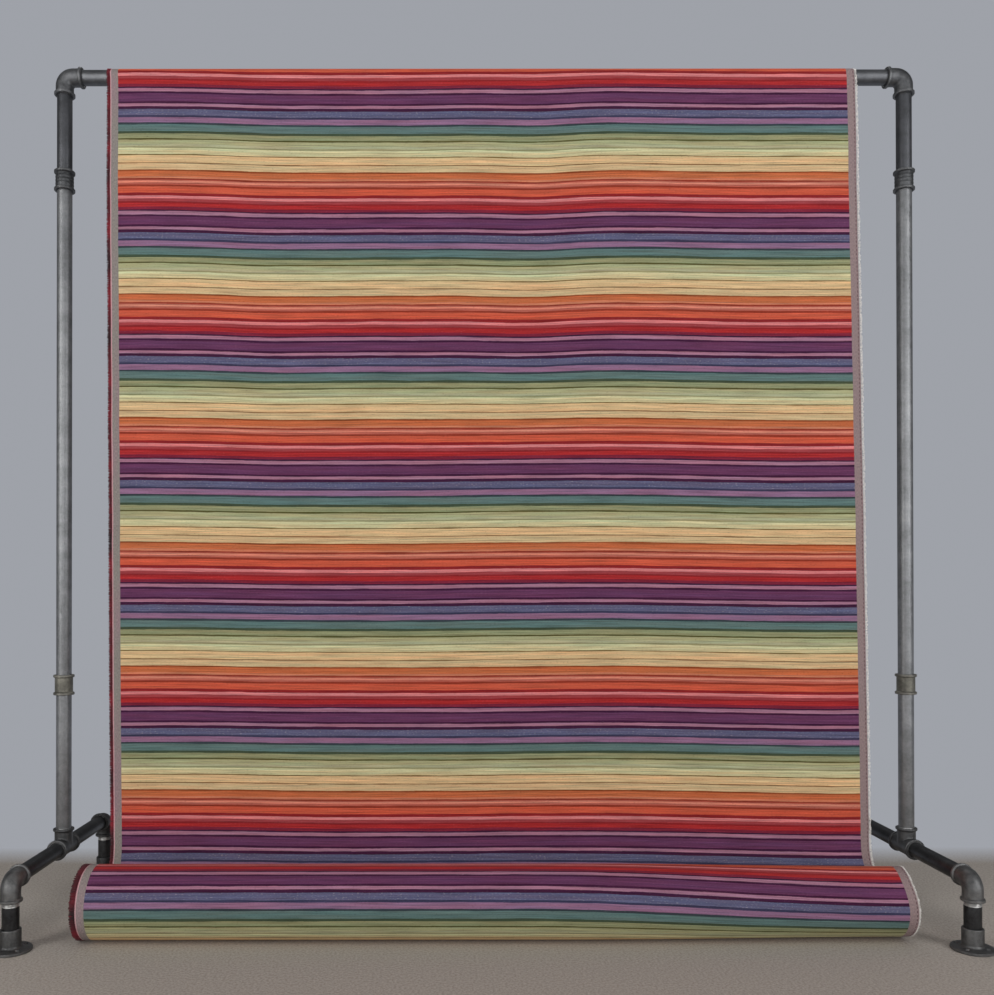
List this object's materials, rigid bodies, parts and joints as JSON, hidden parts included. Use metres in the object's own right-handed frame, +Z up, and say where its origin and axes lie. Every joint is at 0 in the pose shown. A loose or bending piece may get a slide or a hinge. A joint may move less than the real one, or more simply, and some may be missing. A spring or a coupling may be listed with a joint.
{
  "type": "fabric bolt on pipe stand",
  "caption": "Bolt of striped upholstery cloth that turns on the floor, its cloth drawn up over the bar of a threaded pipe stand.",
  "frame": {"origin": "on the floor, midway between the two posts, in the plane of the posts and the bar", "axes": "+X along the bar and the bolt, to the right as seen from the front; -Y to the front, where the bolt lies; +Z up"},
  "size_m": [1.602, 0.498, 1.5333],
  "materials": {
    "pipe_iron": "satin, dark grey mill scale with a paler wiped sheen",
    "base_iron": "satin, near-black lacquered pipe",
    "fitting_iron": "matt, dark malleable iron castings",
    "striped_cloth": "matt woven rainbow stripes across the width, grey selvedges",
    "core_board": "matt spiral-wound brown board"
  },
  "bodies": {
    "stand": {"crossbar": "pipe_iron", "top_elbow_left": "fitting_iron", "top_elbow_right": "fitting_iron", "upper_post_left": "pipe_iron", "upper_post_right": "pipe_iron", "upper_coupling_left": "fitting_iron", "upper_coupling_right": "fitting_iron", "main_post_left": "pipe_iron", "main_post_right": "pipe_iron", "lower_coupling_left": "fitting_iron", "lower_coupling_right": "fitting_iron", "lower_post_left": "pipe_iron", "lower_post_right": "pipe_iron", "base_tee_left": "fitting_iron", "base_tee_right": "fitting_iron", "leg_pipe_left_front": "base_iron", "leg_pipe_left_rear": "base_iron", "leg_pipe_right_front": "base_iron", "leg_pipe_right_rear": "base_iron", "foot_elbow_left_front": "fitting_iron", "foot_elbow_left_rear": "fitting_iron", "foot_elbow_right_front": "fitting_iron", "foot_elbow_right_rear": "fitting_iron", "foot_nipple_left_front": "base_iron", "foot_nipple_left_rear": "base_iron", "foot_nipple_right_front": "base_iron", "foot_nipple_right_rear": "base_iron", "floor_flange_left_front": "fitting_iron", "floor_flange_left_rear": "fitting_iron", "floor_flange_right_front": "fitting_iron", "floor_flange_right_rear": "fitting_iron", "cloth_tail": "striped_cloth", "cloth_over_bar": "striped_cloth", "cloth_front_fall": "striped_cloth", "cloth_slack_loop": "striped_cloth"},
    "bolt": {"cloth_roll": "striped_cloth", "core_tube": "core_board"}
  },
  "joints": [
    {"name": "bolt_turn", "type": "hinge", "parent": "stand", "child": "bolt", "pos_m": [0.01, -0.16, 0.06], "axis": [1, 0, 0], "continuous": true}
  ]
}
